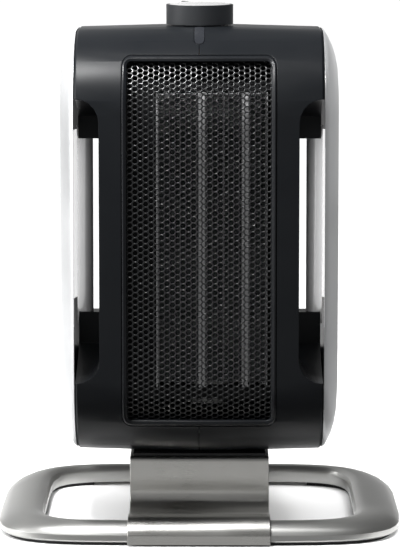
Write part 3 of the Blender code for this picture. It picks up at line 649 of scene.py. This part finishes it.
def fin_piece(index):
    """A pleated aluminium ribbon with a strip on each side, in place of one plain fin pack."""
    low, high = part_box("fin_pack_%d" % index)
    form = bmesh.new()
    count = int((high.z - low.z) / FIN_PITCH)
    folds = []
    for step in range(count * 2 + 1):
        z = low.z + step * FIN_PITCH / 2
        x = low.x + FIN_SIDE_GAP if step % 2 else high.x - FIN_SIDE_GAP
        depths = (low.y + FIN_FACE_GAP, high.y - FIN_FACE_GAP)
        folds.append([form.verts.new((x, y, z)) for y in depths])
    for first, second in zip(folds, folds[1:]):
        form.faces.new((first[0], first[1], second[1], second[0]))
    strip = ((low.y, low.z), (high.y, low.z), (high.y, high.z), (low.y, high.z))
    for x in (low.x, high.x):
        form.faces.new([form.verts.new((x, y, z)) for y, z in strip])
    name = "fin_ribbon_%d" % index
    piece = add_piece(name, form, FIN, replaces=("fin_pack_%d" % index,))
    sheet_metal = piece.modifiers.new("thick", "SOLIDIFY")
    sheet_metal.thickness = FIN_GAUGE
    sheet_metal.offset = 0.0


for index in range(1, 6):
    fin_piece(index)


BEND_STEPS = 12


def rounded_path(corners):
    """A path of straight runs and round bends. Each corner is (y, z, bend radius)."""
    points = [Vector(corners[0][:2])]
    for before, here, after in zip(corners, corners[1:], corners[2:]):
        place = Vector(here[:2])
        back = (Vector(before[:2]) - place).normalized()
        ahead = (Vector(after[:2]) - place).normalized()
        half = back.angle(ahead) / 2
        reach = here[2] / math.tan(half)
        first = place + back * reach
        last = place + ahead * reach
        for i in range(BEND_STEPS + 1):
            share = i / BEND_STEPS
            rest = 1 - share
            points.append(first * rest ** 2 + place * 2 * share * rest + last * share ** 2)
    points.append(Vector(corners[-1][:2]))
    return points


# Strap: one bent sheet over the front rail, back along its top, up in a web and under the body.
# The rear half is its mirror image.
STRAP_HALF = 0.0484
STRAP_GAUGE = 0.002
# The sheet thins to this share over this width at each side edge
STRAP_EDGE_SHARE = 0.7
STRAP_EDGE = 0.0004
STRAP_MIDDLE = 0.016
half_strap = rounded_path(
    (
        (-0.1034, 0.0012, 0.0),
        (-0.1034, 0.0072, 0.0004),
        (-0.0988, 0.0166, 0.0160),
        (-0.0820, 0.0166, 0.0300),
        (-0.0640, 0.0132, 0.0300),
        (-0.0380, 0.0132, 0.0120),
        (-0.0380, 0.0470, 0.0028),
        (0.0, 0.0470, 0.0),
    )
)
strap_run = half_strap[:-1] + [Vector((-point.x, point.y)) for point in half_strap[-2::-1]]
strap_form = bmesh.new()
stations = (
    -STRAP_HALF,
    -STRAP_HALF + STRAP_EDGE,
    -STRAP_MIDDLE,
    STRAP_MIDDLE,
    STRAP_HALF - STRAP_EDGE,
    STRAP_HALF,
)
skins = []
for index, point in enumerate(strap_run):
    before = strap_run[max(index - 1, 0)]
    after = strap_run[min(index + 1, len(strap_run) - 1)]
    along = (after - before).normalized()
    across = Vector((-along.y, along.x)) * STRAP_GAUGE / 2
    loop = []
    for side, places in ((across, stations), (-across, stations[::-1])):
        for x in places:
            share = STRAP_EDGE_SHARE if abs(x) == STRAP_HALF else 1.0
            skin = point + side * share
            loop.append(strap_form.verts.new((x, skin.x, skin.y)))
    skins.append(loop)
close_tube(strap_form, skins, True)
strap = add_piece("strap_sheet", strap_form, BRUSHED, replaces=("pedestal_strap",))
strap_edges = strap.modifiers.new("weighted", "WEIGHTED_NORMAL")
strap_edges.keep_sharp = True


SEAM_HALF_WIDTH = 0.0030
SEAM_OUTER_INSET = 0.0031
SEAM_INNER_INSET = 0.0041
SEAM_SECTION = (
    (-SEAM_HALF_WIDTH, SEAM_OUTER_INSET),
    (SEAM_HALF_WIDTH, SEAM_OUTER_INSET),
    (SEAM_HALF_WIDTH, SEAM_INNER_INSET),
    (-SEAM_HALF_WIDTH, SEAM_INNER_INSET),
)
SEAM_STEPS = 14


def seam_strip(name, first_angle, last_angle, centre):
    """A lap strip inside the seam, so that no light passes between the two shells."""
    form = bmesh.new()
    loops = []
    for i in range(SEAM_STEPS + 1):
        angle = math.radians(first_angle + (last_angle - first_angle) * i / SEAM_STEPS)
        loop = []
        for x, inset in SEAM_SECTION:
            radius = CORNER + KEEL - inset
            y = centre[0] + radius * math.cos(angle)
            z = centre[1] + radius * math.sin(angle)
            loop.append(form.verts.new((x, y, z)))
        loops.append(loop)
    close_tube(form, loops, False)
    add_piece(name, form, INSULATOR)


seam_strip("seam_strip_rear_top", 6, 84, (FLAT, TOP_CENTRE))
seam_strip("seam_strip_rear_low", -84, -6, (FLAT, LOW_CENTRE))
seam_strip("seam_strip_front_low", 226, 264, (-FLAT, LOW_CENTRE))


# ---------------------------------------------------------------- stage, light and camera

PALE_FLOOR = surface(
    "pale_floor",
    ((0.88, 0.88, 0.88), (0.90, 0.90, 0.90)),
    (0.7, 0.8),
    40.0,
    patch=1.5,
    grain_strength=0.02,
    specular=0.2,
)


def floor_part(name, low, high, hole=None):
    """One level part of the studio floor. An optional opening in it takes another part."""
    form = bmesh.new()
    xs = sorted({low[0], high[0]} | ({hole[0][0], hole[1][0]} if hole else set()))
    ys = sorted({low[1], high[1]} | ({hole[0][1], hole[1][1]} if hole else set()))
    points = {(x, y): form.verts.new((x, y, 0.0)) for x in xs for y in ys}
    for x0, x1 in zip(xs, xs[1:]):
        for y0, y1 in zip(ys, ys[1:]):
            inside = hole and hole[0][0] <= x0 < hole[1][0] and hole[0][1] <= y0 < hole[1][1]
            if not inside:
                form.faces.new((points[x0, y0], points[x1, y0], points[x1, y1], points[x0, y1]))
    mesh = bpy.data.meshes.new(name)
    form.to_mesh(mesh)
    form.free()
    mesh.materials.append(PALE_FLOOR)
    part = bpy.data.objects.new(name, mesh)
    scene.collection.objects.link(part)
    return part


# Only the table shows in reflections. It ends just in front of the base, so that the front of the
# metal reflects the lower half of the room and not the floor.
TABLE_LOW = (-1.2, -0.104)
TABLE_HIGH = (0.17, 2.6)
FLOOR_LOW = (-30.0, -30.0)
FLOOR_HIGH = (30.0, 30.0)
floor_part("studio_table", TABLE_LOW, TABLE_HIGH)
outer_floor = floor_part("studio_floor", FLOOR_LOW, FLOOR_HIGH, (TABLE_LOW, TABLE_HIGH))
outer_floor.visible_glossy = False
outer_floor.visible_diffuse = False

world = bpy.data.worlds.new("studio")
world.use_nodes = True
scene.world = world
sky = Graph(world.node_tree)
background = world.node_tree.nodes["Background"]
direction = sky.add("ShaderNodeTexCoord")
split = sky.add("ShaderNodeSeparateXYZ")
sky.link(direction.outputs["Generated"], split.inputs["Vector"])
background.inputs["Strength"].default_value = 1.0


def sky_ramp(axis, stops):
    """Brightness of the room by one part of its direction, which runs from -1 to 1."""
    ramp = sky.add("ShaderNodeValToRGB")
    ramp.color_ramp.interpolation = "EASE"
    shifted = sky.remap(split.outputs[axis], 0.0, 1.0, -1.0, 1.0)
    sky.link(shifted, ramp.inputs["Fac"])
    elements = ramp.color_ramp.elements
    while len(elements) < len(stops):
        elements.new(0.5)
    for element, (place, value) in zip(elements, stops):
        element.position = (place + 1) / 2
        element.color = (value, value, value, 1.0)
    return ramp.outputs["Color"]


def sky_mix(operation, first, second):
    node = sky.add("ShaderNodeVectorMath", operation=operation)
    sky.link(first, node.inputs[0])
    sky.link(second, node.inputs[1])
    return node.outputs["Vector"]


ABOVE_STOPS = ((-1.0, 0.0), (-0.02, 0.0), (0.03, 1.0), (0.55, 0.75), (1.0, 0.45))
BELOW_STOPS = (
    (-1.0, 0.25),
    (-0.34, 0.25),
    (-0.28, 1.15),
    (-0.215, 1.15),
    (-0.165, 0.15),
    (-0.12, 0.2),
    (-0.07, 0.8),
    (-0.01, 0.8),
    (0.03, 0.0),
)
SIDES_ABOVE_STOPS = ((-1.0, 1.0), (-0.35, 0.85), (0.1, 0.30), (0.4, 0.07), (1.0, 0.07))
SIDES_BELOW_STOPS = (
    (-1.0, 1.0),
    (-0.55, 0.9),
    (-0.2, 0.78),
    (0.25, 0.70),
    (0.6, 0.62),
    (1.0, 0.55),
)
FRONT_ABOVE_STOPS = ((-1.0, 0.75), (0.2, 0.8), (1.0, 1.0))
HORIZON_STOPS = ((-1.0, 0.0), (-0.02, 0.0), (0.0, 1.0), (0.07, 1.0), (0.14, 0.0))
REAR_STOPS = ((-1.0, 0.0), (0.75, 0.0), (0.95, 1.0))
above = sky_ramp("Z", ABOVE_STOPS)
below = sky_ramp("Z", BELOW_STOPS)
sides_above = sky_ramp("X", SIDES_ABOVE_STOPS)
sides_below = sky_ramp("X", SIDES_BELOW_STOPS)
front_above = sky_ramp("Y", FRONT_ABOVE_STOPS)
horizon = sky_ramp("Z", HORIZON_STOPS)
rear_only = sky_ramp("Y", REAR_STOPS)
upper = sky_mix("MULTIPLY", above, sky_mix("MULTIPLY", sides_above, front_above))
lower = sky_mix("MULTIPLY", below, sides_below)
far_wall = sky_mix("MULTIPLY", horizon, rear_only)
room = sky_mix("ADD", sky_mix("ADD", upper, lower), far_wall)
# Seen directly, the far end of the studio is plain and pale, as the floor is
path = sky.add("ShaderNodeLightPath")
seen = sky.add("ShaderNodeMix", data_type="RGBA")
seen.inputs["B"].default_value = (1.0, 1.0, 1.0, 1.0)
sky.link(path.outputs["Is Camera Ray"], seen.inputs["Factor"])
sky.link(room, seen.inputs["A"])
sky.link(seen.outputs["Result"], background.inputs["Color"])


def lamp(name, place, target, size, power, glossy=True):
    """An area light aimed at a point. It never shows itself, and some don't show in reflections."""
    data = bpy.data.lights.new(name, "AREA")
    data.shape = "RECTANGLE"
    data.size, data.size_y = size
    data.energy = power
    light = bpy.data.objects.new(name, data)
    light.location = place
    light.rotation_mode = "QUATERNION"
    light.rotation_quaternion = (Vector(target) - Vector(place)).to_track_quat("-Z", "Y")
    light.visible_camera = False
    light.visible_glossy = glossy
    scene.collection.objects.link(light)


fill = bpy.data.lights.new("overhead", "SUN")
fill.energy = 3.15
fill.angle = math.radians(84)
overhead = bpy.data.objects.new("overhead", fill)
overhead.rotation_euler = (math.radians(-8), math.radians(-14), 0.0)
overhead.visible_camera = False
overhead.visible_glossy = False
scene.collection.objects.link(overhead)
lamp("key", (-0.20, -0.28, 0.716), (-0.06, -0.07, 0.30), (0.12, 0.06), 7.0)
lamp("top_bank", (-0.10, -0.55, 1.70), (0.0, 0.0, 0.1), (1.3, 0.4), 4.0)
lamp("left_strip", (-1.25, -0.25, 0.55), (-0.08, 0.0, 0.18), (0.8, 1.1), 14.0)
lamp("right_strip", (1.3, 0.3, 0.6), (0.1, 0.0, 0.2), (0.5, 0.9), 12.0, glossy=False)
lamp("right_top", (0.40, 0.10, 0.62), (0.09, 0.0, 0.32), (0.10, 0.30), 2.6, glossy=False)

# The view: a long lens a little above the body, aimed down by this angle and slightly to one side
CAMERA_PLACE = (0.012, -1.9473, 0.4585)
CAMERA_DOWN = 6.2
CAMERA_TURN = 0.3474
camera_data = bpy.data.cameras.new("photo_view")
camera_data.lens = 181.95
camera_data.sensor_width = 36.0
camera_data.shift_y = -0.1969
camera_data.clip_end = 100.0
camera = bpy.data.objects.new("photo_view", camera_data)
camera.location = CAMERA_PLACE
camera.rotation_euler = (math.radians(90 - CAMERA_DOWN), 0.0, math.radians(CAMERA_TURN))
scene.collection.objects.link(camera)
scene.camera = camera
scene.view_settings.view_transform = "Standard"
